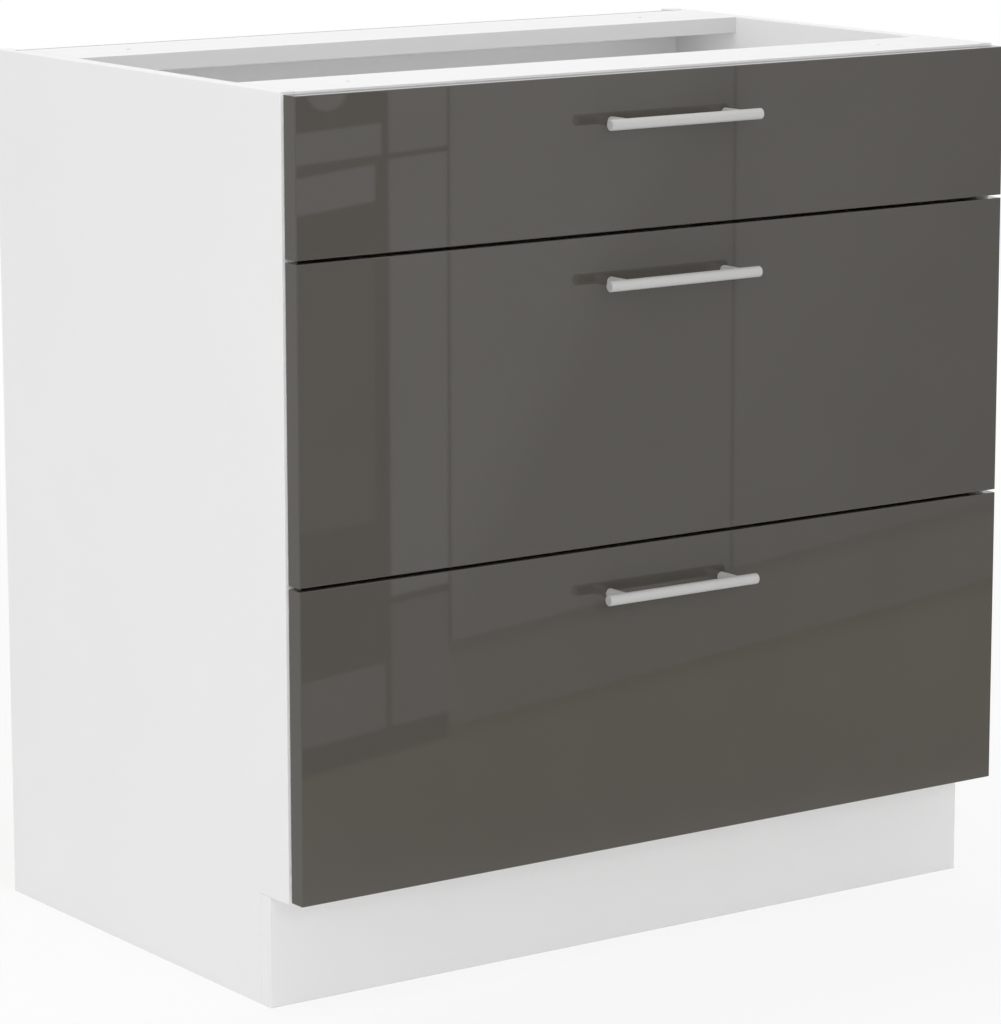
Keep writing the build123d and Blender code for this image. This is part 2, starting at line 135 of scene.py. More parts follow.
# %% [markdown]
# The carcass is chipboard with a white melamine face, pressed against a plate that leaves a fine
# pearl texture. To the eye that is a soft, slightly broken sheen without any gloss. Where the
# saw left the board bare, at the rear and at the floor, the glued wood chips show. Both looks sit
# in one finish: the object's own normal and position tell which edge we are on.

# %% White melamine on chipboard


def chip_colours(finish, coordinates):
    """Pressed wood chips about 1.2 mm thick and twice as long: one tone for each cell."""
    stretched = add(finish, "Mapping", {"Vector": coordinates, "Scale": (1.0, 1.0, 0.5)})
    chips = add(finish, "TexVoronoi", {"Vector": stretched.outputs[0], "Scale": per(1.2)})
    tone = add(finish, "SeparateColor", {"Color": chips.outputs["Color"]})
    wood = add(finish, "Mix", {0: tone.outputs[0], MIX_A: linear("#8F6B42"), MIX_B: linear("#CDAE80")},
               data_type="RGBA")
    return wood.outputs[MIX_COLOUR], chips.outputs["Distance"]


def edge_mask(finish, position, normal, axis, sign, limit):
    """1 on faces that look along sign times axis and lie beyond limit along it, else 0."""
    spot = add(finish, "SeparateXYZ", {"Vector": position})
    facing = add(finish, "SeparateXYZ", {"Vector": normal})
    beyond = add(finish, "Math", {0: spot.outputs[axis], 1: sign}, operation="MULTIPLY")
    beyond = add(finish, "Math", {0: beyond.outputs[0], 1: limit}, operation="GREATER_THAN")
    turned = add(finish, "Math", {0: facing.outputs[axis], 1: sign}, operation="MULTIPLY")
    turned = add(finish, "Math", {0: turned.outputs[0], 1: FACING}, operation="GREATER_THAN")
    both = add(finish, "Math", {0: beyond.outputs[0], 1: turned.outputs[0]}, operation="MULTIPLY")
    return both.outputs[0]


def melamine_board(name, edge_strip_and_shade_tone=None):
    """Pearl texture is really 0.5 mm wide; it is drawn 2 mm wide so that the render can show it. Its white
    drifts over 140 mm. An edge tone goes on the edges that look to the front or rear: a greyer edge
    strip, whose tone is partly painted shade. The bare edges lie in the rear plane of the unit and on the
    floor."""
    finish, where = new_finish(name)
    position, normal = where.outputs["Object"], where.outputs["Normal"]
    pearl = add(finish, "TexNoise", {"Vector": position, "Scale": per(2.0), "Detail": 2.0})
    cloud = add(finish, "TexNoise", {"Vector": position, "Scale": per(140.0), "Detail": 1.0})
    white = add(finish, "Mix", {0: cloud.outputs["Fac"], MIX_A: linear("#F1F1F1"), MIX_B: linear("#F4F4F4")},
                data_type="RGBA")
    white = white.outputs[MIX_COLOUR]
    if edge_strip_and_shade_tone:
        facing = add(finish, "SeparateXYZ", {"Vector": normal})
        turned = add(finish, "Math", {0: facing.outputs[1]}, operation="ABSOLUTE")
        strip = add(finish, "Math", {0: turned.outputs[0], 1: FACING}, operation="GREATER_THAN")
        white = add(finish, "Mix", {0: strip.outputs[0], MIX_A: white, MIX_B: linear(edge_strip_and_shade_tone)},
                    data_type="RGBA").outputs[MIX_COLOUR]
    tolerance = 0.0004
    rear = edge_mask(finish, position, normal, axis=1, sign=1.0, limit=cad_box[1].y - tolerance)
    floor = edge_mask(finish, position, normal, axis=2, sign=-1.0, limit=-tolerance)
    bare = add(finish, "Math", {0: rear, 1: floor}, operation="MAXIMUM").outputs[0]
    chips, hollows = chip_colours(finish, position)
    colour = add(finish, "Mix", {0: bare, MIX_A: white, MIX_B: chips}, data_type="RGBA")
    roughness = add(finish, "MapRange", {"Value": bare, "To Min": 0.42, "To Max": 0.9})
    height = add(finish, "Mix", {0: bare, VALUE_A: pearl.outputs["Fac"], VALUE_B: hollows})
    bump = add(finish, "Bump", {"Height": height.outputs[0], "Strength": 0.25, "Distance": 0.00006})
    shader = add(finish, "BsdfPrincipled", {
        "Base Color": colour.outputs[MIX_COLOUR], "Roughness": roughness.outputs[0], "IOR": 1.5,
        "Normal": bump.outputs[0]})
    return close_finish(finish, shader.outputs[0])


carcass_board = melamine_board("melamine_faced_chipboard")
# The rear rail's front and rear edges get a greyer tone: partly a real edge strip, partly painted shade.
rail_board_with_painted_shade = melamine_board("melamine_chipboard_with_edge_strip_and_painted_shade", "#DADADA")
print(carcass_board.name, len(carcass_board.node_tree.nodes), "nodes")

# %% [markdown]
# The back is hardboard, wood fibre pressed thin. Its room side carries a coat of white lacquer. Its
# sawn edges and its wall side are brown and matt, and the wall side keeps the print of the wire
# screen that the wet fibre was pressed on. Two waves at right angles, the higher of the two at each
# point, give that print.

# %% Hardboard, lacquered on one side


def hardboard():
    """The screen's wires are about 1.3 mm apart; they are drawn 4 mm apart so that they can show."""
    finish, where = new_finish("lacquered_hardboard")
    position = where.outputs["Object"]
    facing = add(finish, "SeparateXYZ", {"Vector": where.outputs["Normal"]})
    wall_side = add(finish, "Math", {0: facing.outputs[1], 1: -FACING}, operation="GREATER_THAN").outputs[0]
    bands_per_scale = 20 / (2 * math.pi)  # a wave texture of scale 1 draws so many bands in a metre
    wave_scale = per(4.0) / bands_per_scale
    warp = add(finish, "TexWave", {"Vector": position, "Scale": wave_scale}, bands_direction="X")
    weft = add(finish, "TexWave", {"Vector": position, "Scale": wave_scale}, bands_direction="Z")
    screen = add(finish, "Math", {0: warp.outputs["Fac"], 1: weft.outputs["Fac"]}, operation="MAXIMUM")
    fibre = add(finish, "TexNoise", {"Vector": position, "Scale": per(12.0), "Detail": 8.0, "Roughness": 0.8})
    tone = add(finish, "Math", {0: screen.outputs[0], 1: 0.2, 2: fibre.outputs["Fac"]},
               operation="MULTIPLY_ADD")
    tone = add(finish, "MapRange", {"Value": tone.outputs[0], "From Min": 0.42, "From Max": 0.86})
    brown = add(finish, "Mix", {0: tone.outputs[0], MIX_A: linear("#5E4129"), MIX_B: linear("#A07C56")},
                data_type="RGBA")
    colour = add(finish, "Mix", {0: wall_side, MIX_A: linear("#F9F9F9"), MIX_B: brown.outputs[MIX_COLOUR]},
                 data_type="RGBA")
    roughness = add(finish, "MapRange", {"Value": wall_side, "To Min": 0.35, "To Max": 0.8})
    height = add(finish, "Mix", {0: wall_side, VALUE_A: fibre.outputs["Fac"], VALUE_B: tone.outputs[0]})
    bump = add(finish, "Bump", {"Height": height.outputs[0], "Strength": 0.3, "Distance": 0.0001})
    shader = add(finish, "BsdfPrincipled", {
        "Base Color": colour.outputs[MIX_COLOUR], "Roughness": roughness.outputs[0], "IOR": 1.5,
        "Normal": bump.outputs[0]})
    return close_finish(finish, shader.outputs[0])


back_board = hardboard()
print(back_board.name, len(back_board.node_tree.nodes), "nodes")

# %% [markdown]
# The fronts are fibreboard under high-gloss dark grey lacquer: a deep, even colour that mirrors the
# room. A sprayed lacquer is never quite flat, so a very faint orange peel bends the reflections.
# The back of each front is plain white melamine, as on most kitchen fronts.

# %% High-gloss lacquer


def gloss_lacquer():
    """Orange peel has waves about 4 mm long and far under a hundredth of a millimetre high."""
    finish, where = new_finish("high_gloss_lacquer")
    position = where.outputs["Object"]
    facing = add(finish, "SeparateXYZ", {"Vector": where.outputs["Normal"]})
    rear = add(finish, "Math", {0: facing.outputs[1], 1: FACING}, operation="GREATER_THAN").outputs[0]
    flow = add(finish, "TexNoise", {"Vector": position, "Scale": per(90.0), "Detail": 1.0})
    grey = add(finish, "Mix", {0: flow.outputs["Fac"], MIX_A: linear("#4F4C47"), MIX_B: linear("#524F4A")},
               data_type="RGBA")
    colour = add(finish, "Mix", {0: rear, MIX_A: grey.outputs[MIX_COLOUR], MIX_B: linear("#EBEBEB")},
                 data_type="RGBA")
    roughness = add(finish, "MapRange", {"Value": rear, "To Min": 0.03, "To Max": 0.42})
    peel = add(finish, "TexNoise", {"Vector": position, "Scale": per(4.0), "Detail": 1.0})
    bump = add(finish, "Bump", {"Height": peel.outputs["Fac"], "Strength": 0.02, "Distance": 0.00005})
    shader = add(finish, "BsdfPrincipled", {
        "Base Color": colour.outputs[MIX_COLOUR], "Roughness": roughness.outputs[0], "IOR": 1.5,
        "Normal": bump.outputs[0]})
    return close_finish(finish, shader.outputs[0])


front_lacquer = gloss_lacquer()
print(front_lacquer.name, len(front_lacquer.node_tree.nodes), "nodes")

# %% [markdown]
# The handles are aluminium bars under a satin silver lacquer. The flakes in it lie at all angles, so
# it scatters light much more than bare metal does: the bar stays pale grey all round, even where a
# polished one would mirror the dark front. Fine lines from the brushing under the coat run along it.

# %% Satin silver lacquer


def silver_lacquer():
    """Brushing lines are about 0.1 mm apart; they are drawn 0.6 mm apart so that they can show."""
    finish, where = new_finish("satin_silver_lacquer")
    along = add(finish, "Mapping", {"Vector": where.outputs["Object"], "Scale": (0.02, 1.0, 1.0)})
    lines = add(finish, "TexNoise", {"Vector": along.outputs[0], "Scale": per(0.6), "Detail": 2.0})
    colour = add(finish, "Mix", {0: lines.outputs["Fac"], MIX_A: linear("#BDBDBB"), MIX_B: linear("#C7C7C5")},
                 data_type="RGBA")
    roughness = add(finish, "MapRange", {"Value": lines.outputs["Fac"], "To Min": 0.40, "To Max": 0.50})
    bump = add(finish, "Bump", {"Height": lines.outputs["Fac"], "Strength": 0.15, "Distance": 0.00002})
    shader = add(finish, "BsdfPrincipled", {
        "Base Color": colour.outputs[MIX_COLOUR], "Roughness": roughness.outputs[0], "IOR": 1.5,
        "Normal": bump.outputs[0]})
    return close_finish(finish, shader.outputs[0])


handle_metal = silver_lacquer()
print(handle_metal.name, len(handle_metal.node_tree.nodes), "nodes")

# %% [markdown]
# Runners and drawer sides are folded steel sheet under a white epoxy powder coat. The powder melts
# into a thick skin with a soft, rolling surface, so its highlights are broad and a little wavy.

# %% Powder-coated steel


def powder_coat():
    """The melted powder rolls in waves about 2 mm wide."""
    finish, where = new_finish("white_powder_coated_steel")
    position = where.outputs["Object"]
    waves = add(finish, "TexNoise", {"Vector": position, "Scale": per(2.0), "Detail": 1.0})
    cloud = add(finish, "TexNoise", {"Vector": position, "Scale": per(80.0), "Detail": 2.0})
    white = add(finish, "Mix", {0: cloud.outputs["Fac"], MIX_A: linear("#E9E9E8"), MIX_B: linear("#EEEEED")},
                data_type="RGBA")
    bump = add(finish, "Bump", {"Height": waves.outputs["Fac"], "Strength": 0.2, "Distance": 0.00005})
    shader = add(finish, "BsdfPrincipled", {
        "Base Color": white.outputs[MIX_COLOUR], "Roughness": 0.32, "IOR": 1.5, "Normal": bump.outputs[0]})
    return close_finish(finish, shader.outputs[0])


runner_steel = powder_coat()
print(runner_steel.name, len(runner_steel.node_tree.nodes), "nodes")

# %% [markdown]
# Screws, brackets and axles are steel with a bright zinc plating, a cool metal whose crystals show
# as faint clouds. The cam locks are cast from zinc in a steel die, so they are greyer and rougher.
# Both are the same tree with other numbers, so one function makes both.

# %% Zinc plating and cast zinc


def zinc(name, dark, light, low, high, grain, depth):
    """A cloudy metal: dark and light are its tones, low and high its roughness, grain the width of its
    clouds in millimetres and depth the height of its bumps in metres."""
    finish, where = new_finish(name)
    cloud = add(finish, "TexNoise", {"Vector": where.outputs["Object"], "Scale": per(grain), "Detail": 3.0})
    colour = add(finish, "Mix", {0: cloud.outputs["Fac"], MIX_A: linear(dark), MIX_B: linear(light)},
                 data_type="RGBA")
    roughness = add(finish, "MapRange", {"Value": cloud.outputs["Fac"], "To Min": low, "To Max": high})
    bump = add(finish, "Bump", {"Height": cloud.outputs["Fac"], "Strength": 0.2, "Distance": depth})
    shader = add(finish, "BsdfPrincipled", {
        "Base Color": colour.outputs[MIX_COLOUR], "Metallic": 1.0, "Roughness": roughness.outputs[0],
        "Normal": bump.outputs[0]})
    return close_finish(finish, shader.outputs[0])


zinc_steel = zinc("bright_zinc_plated_steel", "#B9BEC4", "#D3D7DC", 0.22, 0.34, 3.0, 0.00002)
cam_zinc = zinc("die_cast_zinc", "#9C9EA1", "#B4B6B8", 0.42, 0.58, 1.2, 0.00006)
print(zinc_steel.name, cam_zinc.name)

# %% [markdown]
# The last three are small: rollers of undyed nylon, which is milky and waxy, dowels of beech, whose
# pores run along the stick, and the milky soft pads that quieten a closing drawer.

# %% Nylon, beech and soft pads


def nylon():
    """Moulded nylon: faint milky clouds about 4 mm wide under a waxy skin."""
    finish, where = new_finish("moulded_nylon")
    cloud = add(finish, "TexNoise", {"Vector": where.outputs["Object"], "Scale": per(4.0), "Detail": 2.0})
    milk = add(finish, "Mix", {0: cloud.outputs["Fac"], MIX_A: linear("#E4E0D4"), MIX_B: linear("#EDEAE1")},
               data_type="RGBA")
    roughness = add(finish, "MapRange", {"Value": cloud.outputs["Fac"], "To Min": 0.32, "To Max": 0.44})
    shader = add(finish, "BsdfPrincipled", {
        "Base Color": milk.outputs[MIX_COLOUR], "Roughness": roughness.outputs[0], "IOR": 1.53})
    return close_finish(finish, shader.outputs[0])


def beech():
    """Pores are short strokes along X, about 0.6 mm wide and fifteen times as long."""
    finish, where = new_finish("plain_beech")
    along = add(finish, "Mapping", {"Vector": where.outputs["Object"], "Scale": (0.07, 1.0, 1.0)})
    pores = add(finish, "TexNoise", {"Vector": along.outputs[0], "Scale": per(0.6), "Detail": 3.0})
    wood = add(finish, "Mix", {0: pores.outputs["Fac"], MIX_A: linear("#B98A5C"), MIX_B: linear("#DDB98C")},
               data_type="RGBA")
    bump = add(finish, "Bump", {"Height": pores.outputs["Fac"], "Strength": 0.3, "Distance": 0.00005})
    shader = add(finish, "BsdfPrincipled", {
        "Base Color": wood.outputs[MIX_COLOUR], "Roughness": 0.6, "IOR": 1.5, "Normal": bump.outputs[0]})
    return close_finish(finish, shader.outputs[0])


def soft_pad():
    """Soft polyurethane, milky: light enters, is scattered and comes out again."""
    finish, where = new_finish("milky_polyurethane")
    haze = add(finish, "TexNoise", {"Vector": where.outputs["Object"], "Scale": per(1.0), "Detail": 2.0})
    roughness = add(finish, "MapRange", {"Value": haze.outputs["Fac"], "To Min": 0.15, "To Max": 0.3})
    shader = add(finish, "BsdfPrincipled", {
        "Base Color": linear("#DADAD4"), "Roughness": roughness.outputs[0], "IOR": 1.5,
        "Subsurface Weight": 0.5, "Subsurface Radius": (0.001, 0.001, 0.001)})
    return close_finish(finish, shader.outputs[0])


roller_nylon, dowel_beech, bumper_soft = nylon(), beech(), soft_pad()
print(roller_nylon.name, dowel_beech.name, bumper_soft.name)

# %% [markdown]
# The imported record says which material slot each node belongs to. A dictionary from slot to finish
# dresses all sixty nodes in one loop, without touching their meshes.

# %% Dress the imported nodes
finishes = {
    "carcass_board": carcass_board, "back_board": back_board, "drawer_board": carcass_board,
    "front_lacquer": front_lacquer, "handle_metal": handle_metal, "runner_steel": runner_steel,
    "roller_nylon": roller_nylon, "zinc_steel": zinc_steel, "cam_zinc": cam_zinc,
    "dowel_beech": dowel_beech, "bumper_soft": bumper_soft,
}
for part in frame["record"]["subparts"]:
    surface = nodes[part["node"]].data
    surface.materials.clear()
    is_rear_rail = part["node"] == "rear_top_rail"
    surface.materials.append(rail_board_with_painted_shade if is_rear_rail else finishes[part["material_slot"]])

# %% [markdown]
# The pieces that we add are grids of points worked out with numpy. A grid is a sheet of rows and
# columns; each little square of it becomes a face. Where a sheet meets itself or another sheet,
# points fall on the same place and are merged, which closes seams and poles. We could model such
# pieces by hand with extrude and bevel, but a formula is easier to correct and to repeat.

# %% From grids of points to a piece
# Points closer than this are one, and edges shorter than this are none, in metres.
same_place, no_length = 2e-6, 1e-6


def skin(name, sheets, body, slot, sharp=40.0):
    """One mesh from sheets of points, each an array (copies, rows, columns, 3) in metres. Point (row, column)
    makes a face with its neighbours in the next row and column; edges over sharp degrees stay sharp."""
    quads, start = [], 0
    for sheet in sheets:
        index = start + np.arange(sheet[..., 0].size).reshape(sheet.shape[:3])
        corners = (index[:, :-1, :-1], index[:, 1:, :-1], index[:, 1:, 1:], index[:, :-1, 1:])
        quads.append(np.stack(corners, axis=-1).reshape(-1, 4))
        start += index.size
    points = np.concatenate([sheet.reshape(-1, 3) for sheet in sheets])
    mesh = bpy.data.meshes.new(name)
    mesh.from_pydata(points.tolist(), [], np.concatenate(quads).tolist())
    shape = bmesh.new()
    shape.from_mesh(mesh)
    bmesh.ops.remove_doubles(shape, verts=shape.verts, dist=same_place)
    bmesh.ops.dissolve_degenerate(shape, edges=shape.edges, dist=no_length)
    bmesh.ops.recalc_face_normals(shape, faces=shape.faces)
    shape.to_mesh(mesh)
    shape.free()
    mesh.shade_smooth()
    mesh.set_sharp_from_angle(angle=math.radians(sharp))
    mesh.materials.append(finishes[slot])
    piece = bpy.data.objects.new(name, mesh)
    scene.collection.objects.link(piece)
    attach(piece, body)
    return piece


def lathe(outline, turns=48):
    """A turned sheet about X: outline rows are (x, radius), columns go once round the axis."""
    outline = np.asarray(outline, float)
    angle = np.linspace(0, 2 * np.pi, turns + 1)
    x = np.repeat(outline[:, :1], turns + 1, axis=1)
    return np.stack([x, outline[:, 1:] * np.cos(angle), outline[:, 1:] * np.sin(angle)], axis=-1)


def place(shape, places):
    """Copies of a shape (rows, columns, 3): places holds the origins and the X, Y and Z directions of all."""
    origins, axes = places
    return np.einsum("rck,nkx->nrcx", shape, axes) + origins[:, None, None]


print("helpers ready")

# %% [markdown]
# Each handle is a round bar on two posts. The bar's ends are cut square with the burr taken off, so
# its outline is flat, then a quarter circle, then straight, and mirrored at the other end. Turning
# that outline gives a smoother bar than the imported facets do. A post is turned the same way: it
# stands on the front, and its other end runs into the bar.

# %% Handles
handle_height = {"top": 0.776, "middle": 0.632, "bottom": 0.346}
front_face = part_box("top_drawer_front")[0].y
standoff, bar_half, bar_radius, bar_edge = 0.026, 0.085, 0.005, 0.0008
post_radius, post_offset, post_length, post_tip = 0.0045, 0.064, 0.0225, 0.0245
bar_axis = front_face - standoff

quarter = np.linspace(0, np.pi / 2, 6)
bar_end = np.stack([-bar_half + bar_edge * (1 - np.sin(quarter)),
                    bar_radius - bar_edge * (1 - np.cos(quarter))], axis=-1)[::-1]
bar_end = np.concatenate([[[-bar_half, 0]], bar_end])
bar_outline = np.concatenate([bar_end, (bar_end * (-1, 1))[::-1]])
post_outline = [(0, 0), (0, post_radius), (post_length, post_radius), (post_tip, 0)]
outwards = np.array([[(0, -1, 0), (1, 0, 0), (0, 0, 1)]] * 2, float)

for name, height in handle_height.items():
    bar = place(lathe(bar_outline), (np.array([[0, bar_axis, height]]), np.eye(3)[None]))
    feet = np.array([[-post_offset, front_face, height], [post_offset, front_face, height]])
    posts = place(lathe(post_outline), (feet, outwards))
    body = f"{name}_drawer"
    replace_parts(skin(f"{body}_bar", [bar], body, "handle_metal"), f"{body}_handle_bar")
    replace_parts(skin(f"{body}_posts", [posts], body, "handle_metal"), f"{body}_handle_posts")
print("bar length", round(2 * bar_half * 1000, 1), "mm")

# %% [markdown]
# Screws are small, but an open drawer shows dozens of them, and a head without its cross reads as a
# plain peg. A head is a dome over a square grid that is bent into a disc, so that the grid lines run
# along the arms of the cross; points inside the arms are pushed down. The underside and the shank
# hang on the rim of that disc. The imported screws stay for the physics, and these are shown.

# %% Screws with a cross recess
# In shares of the radius: half the width of an arm, its reach, and half the width of its sloping walls.
arm_half, arm_reach, arm_slope = 0.15, 0.6, 0.02
half_lines = np.array([arm_half - arm_slope, arm_half + arm_slope, arm_reach - arm_slope,
                       arm_reach + arm_slope, 0.78, 0.94, 1])
grid_lines = np.concatenate([-half_lines[::-1], half_lines])


def cross_head(radius, dome, recess):
    """A head towards -X. A square point (u, v) moves to u * sqrt(1 - v * v / 2), v * sqrt(1 - u * u / 2)
    on a disc; its height is dome * sqrt(1 - r ** 4), less the recess inside the arms of the cross."""
    u, v = np.meshgrid(grid_lines, grid_lines, indexing="ij")
    y, z = u * np.sqrt(1 - v ** 2 / 2), v * np.sqrt(1 - u ** 2 / 2)
    rise = dome * np.sqrt(np.clip(1 - (y ** 2 + z ** 2) ** 2, 0, 1))
    near, far = np.minimum(abs(u), abs(v)), np.maximum(abs(u), abs(v))
    arms = (near < arm_half) & (far < arm_reach)
    return np.stack([np.where(arms, recess * (1 - far), 0) - rise, radius * y, radius * z], axis=-1)


def rim_of(head):
    """The outermost points of a head, once round and back to the first."""
    return np.concatenate([head[:-1, 0], head[-1, :-1], head[:0:-1, -1], head[0, ::-1]])


def hung_shank(head, outline):
    """Rows of (x, radius) that hang on the rim of a head and keep its points' angles about X."""
    rim = rim_of(head)
    around = rim[:, 1:] / np.linalg.norm(rim[:, 1:], axis=1, keepdims=True)
    outline = np.asarray(outline, float)
    rings = outline[:, None, 1:] * around[None]
    x = np.broadcast_to(outline[:, None, :1], (*rings.shape[:2], 1))
    return np.concatenate([rim[None], np.concatenate([x, rings], axis=-1)])


def cross_screw(head_radius, dome, recess, outline):
    """The two sheets of a screw: its head, and the shank that hangs on the head's rim."""
    head = cross_head(head_radius, dome, recess)
    return [head, hung_shank(head, outline)]


print("points in a head", grid_lines.size ** 2)

# %% [markdown]
# Now every screw needs its place and its direction. A place is an origin on the sheet that the head
# rests on; a direction points into the material. The right half of the unit mirrors the left, so we
# list the left ones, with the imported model's own sizes in millimetres, and flip the sign of X.

# %% Places of the screws
to_left, to_right, to_front, upwards = (-1, 0, 0), (1, 0, 0), (0, -1, 0), (0, 0, 1)
front_back, drawer_rear = -226.5, 224.0
# The side panel's inner face, and from there the runner's sheet and the two faces of the drawer side.
inner_face, sheet, side_outer, side_inner = -384.0, 1.2, 12.5, 13.7
# The base of each drawer's runner and the height of the drawer's side above that.
levels = {"top": (697.0, 70.0), "middle": (411.0, 150.0), "bottom": (125.0, 150.0)}
# From the base up and from the side's top edge down to the screws of the brackets and the back board.
screw_rise, screw_drop, back_middle = 34.2, 19.0, 8.0
bracket_sheet, bracket_screw, bracket_rivet = 1.5, 14.0, 19.0
# The screws under the floor board: from the inner face, up to the flange, from the front and the rear.
flange_screw, flange_rise, flange_front, flange_rear = 21.45, 3.0, 38.5, 32.0


def both_halves(spots):
    """Origins and axes, in metres, of left places (x, y, z, direction) and of their mirror images."""
    left = np.array([spot[:3] for spot in spots]) / 1000
    along = np.array([spot[3] for spot in spots], float)
    flip = np.array([-1, 1, 1])
    origins, x_axes = np.concatenate([left, left * flip]), np.concatenate([along, along * flip])
    helper = np.where(abs(x_axes[:, 2:]) > 0.5, [[0, 1, 0]], [[0, 0, 1]])
    y_axes = np.cross(helper, x_axes)
    return origins, np.stack([x_axes, y_axes, np.cross(x_axes, y_axes)], axis=1)


def drawer_spots(base, side_height):
    """Left screws and rivets of one drawer: front bracket, back board, floor board and bracket rivets."""
    heights = (base + screw_rise, base + side_height - screw_drop)
    bracket_x, flange_x = inner_face + side_inner, inner_face + flange_screw
    screws = [(bracket_x + bracket_screw, front_back + bracket_sheet, z, to_front) for z in heights]
    screws += [(inner_face + side_outer, drawer_rear - back_middle, z, to_right) for z in heights]
    screws += [(flange_x, y, base + flange_rise, upwards)
               for y in (front_back + flange_front, drawer_rear - flange_rear)]
    rivets = [(bracket_x + bracket_sheet, front_back + bracket_rivet, z, to_left) for z in heights]
    return screws, rivets


print("screws of a drawer", 2 * len(drawer_spots(*levels["top"])[0]))

# %% [markdown]
# There are three kinds of screw: pan heads in the drawers' boards, longer ones that hold the handles
# from behind, and flat heads, sunk into the runners so that the rollers pass over them. The front
# brackets are riveted to the steel sides, and a rivet is only a turned dome on a pin. All screws of
# one drawer become one piece, because they move together.

# %% Screws, rivets and runner screws
# A head is its radius, the height of its dome and the depth of its recess, in metres; a shank is an
# outline with rows of (distance below the head, radius).
pan_head, flat_head = (0.0035, 0.002, 0.0016), (0.0044, 0.0, 0.0009)
board_shank = [(0, 0.00175), (0.0115, 0.00175), (0.014, 0)]
handle_shank = [(0, 0.002), (0.0275, 0.002), (0.028, 0)]
runner_shank = [(0.0012, 0.003), (0.0012, 0.0025), (0.0098, 0.0025), (0.0122, 0)]
rivet_radius, rivet_rise, rivet_pin = 0.0035, 0.0016, [(0, 0.002), (0.0037, 0.002), (0.0037, 0)]

board_screw, handle_screw = cross_screw(*pan_head, board_shank), cross_screw(*pan_head, handle_shank)
runner_screw = cross_screw(*flat_head, runner_shank)
dome_angle = np.linspace(0, np.pi / 2, 7)
rivet_head = np.stack([-rivet_rise * np.cos(dome_angle), rivet_radius * np.sin(dome_angle)], axis=-1)
rivet = lathe(np.concatenate([rivet_head, rivet_pin]), turns=24)

for name, (base, side_height) in levels.items():
    body = f"{name}_drawer"
    screws, rivets = (both_halves(spots) for spots in drawer_spots(base, side_height))
    sheets = [place(shape, screws) for shape in board_screw] + [place(rivet, rivets)]
    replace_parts(skin(f"{body}_cross_screws", sheets, body, "zinc_steel"), f"{body}_screws")
    post_spots = both_halves([(-1000 * post_offset, front_back, 1000 * handle_height[name], to_front)])
    sheets = [place(shape, post_spots) for shape in handle_screw]
    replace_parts(skin(f"{body}_handle_cross_screws", sheets, body, "zinc_steel"), f"{body}_handle_screws")

runner_rise, runner_rows = 12.7, (-155.5, 164.5)
runner_spots = [(inner_face + sheet, y, base + runner_rise, to_left)
                for base, _ in levels.values() for y in runner_rows]
sheets = [place(shape, both_halves(runner_spots)) for shape in runner_screw]
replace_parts(skin("runner_cross_screws", sheets, "carcass", "zinc_steel"), "runner_screws")
print("runner screws", 2 * len(runner_spots))

# %% [markdown]
# The hardboard sits in grooves at its sides. Along its top and foot it is nailed to the rear rail and
# to the bottom board, with flat round heads about 130 mm apart. A nail is one turned outline.

# %% Nails in the back
nail_outline = [(-0.0007, 0), (-0.0007, 0.0018), (-0.0003, 0.0023), (0, 0.0023), (0, 0.0008), (0.003, 0)]
back_plane = 1000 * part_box("back_panel")[1].y
nail_rows, nail_columns = (111, 812), np.linspace(-330, -66, 3)
nail_spots = [(x, back_plane, z, to_front) for z in nail_rows for x in nail_columns]
nail = lathe(nail_outline, turns=20)
skin("back_nails", [place(nail, both_halves(nail_spots))], "carcass", "zinc_steel")
print("nails", 2 * len(nail_spots))

# %% [markdown]
# The floor is a plain pale sheet. Its colour is lit like everything else, so it keeps the shadow of
# the unit; a little is added for the eye and for mirrors, and towards its rim it fades into the
# white of the room behind. The room itself is the world: white to the eye and in mirrors, and a soft
# light for the rest.

# %% Floor and room


def looks(owner):
    """1 for rays that look at a surface from the camera, in a mirror or through glass, else 0."""
    ray = add(owner, "LightPath", {})
    seen = add(owner, "Math", {0: ray.outputs["Is Camera Ray"], 1: ray.outputs["Is Glossy Ray"]},
               operation="ADD")
    seen = add(owner, "Math", {0: seen.outputs[0], 1: ray.outputs["Is Transmission Ray"]}, operation="ADD",
               use_clamp=True)
    return seen.outputs[0]


def pale_floor(reach):
    """Lit white; what looks at it sees plain white mixed in, and nothing else beyond about a quarter of the
    reach. The two distances are shares of the reach, and near_white is the white that is mixed in first."""
    fade_from, fade_to, near_white = 0.09, 0.28, 0.78
    finish, where = new_finish("pale_floor")
    away = add(finish, "VectorMath", {0: where.outputs["Object"]}, operation="LENGTH")
    share = add(finish, "MapRange", {
        "Value": away.outputs["Value"], "From Min": fade_from * reach, "From Max": fade_to * reach,
        "To Min": near_white, "To Max": 1.0}, interpolation_type="SMOOTHSTEP")
    share = add(finish, "Math", {0: looks(finish), 1: share.outputs[0]}, operation="MULTIPLY")
    lit = add(finish, "BsdfDiffuse", {"Color": linear("#FAFAFA")})
    white = add(finish, "Emission", {"Color": linear("#FFFFFF")})
    mixed = add(finish, "MixShader", {0: share.outputs[0], 1: lit.outputs[0], 2: white.outputs[0]})
    return close_finish(finish, mixed.outputs[0])


def stage_card(name, corners, finish):
    """A flat card between its corners, counted round, that isn't part of the unit."""
    mesh = bpy.data.meshes.new(name)
    mesh.from_pydata(corners, [], [tuple(range(len(corners)))])
    mesh.materials.append(finish)
    card = bpy.data.objects.new(name, mesh)
    scene.collection.objects.link(card)
    card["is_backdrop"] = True
    return card


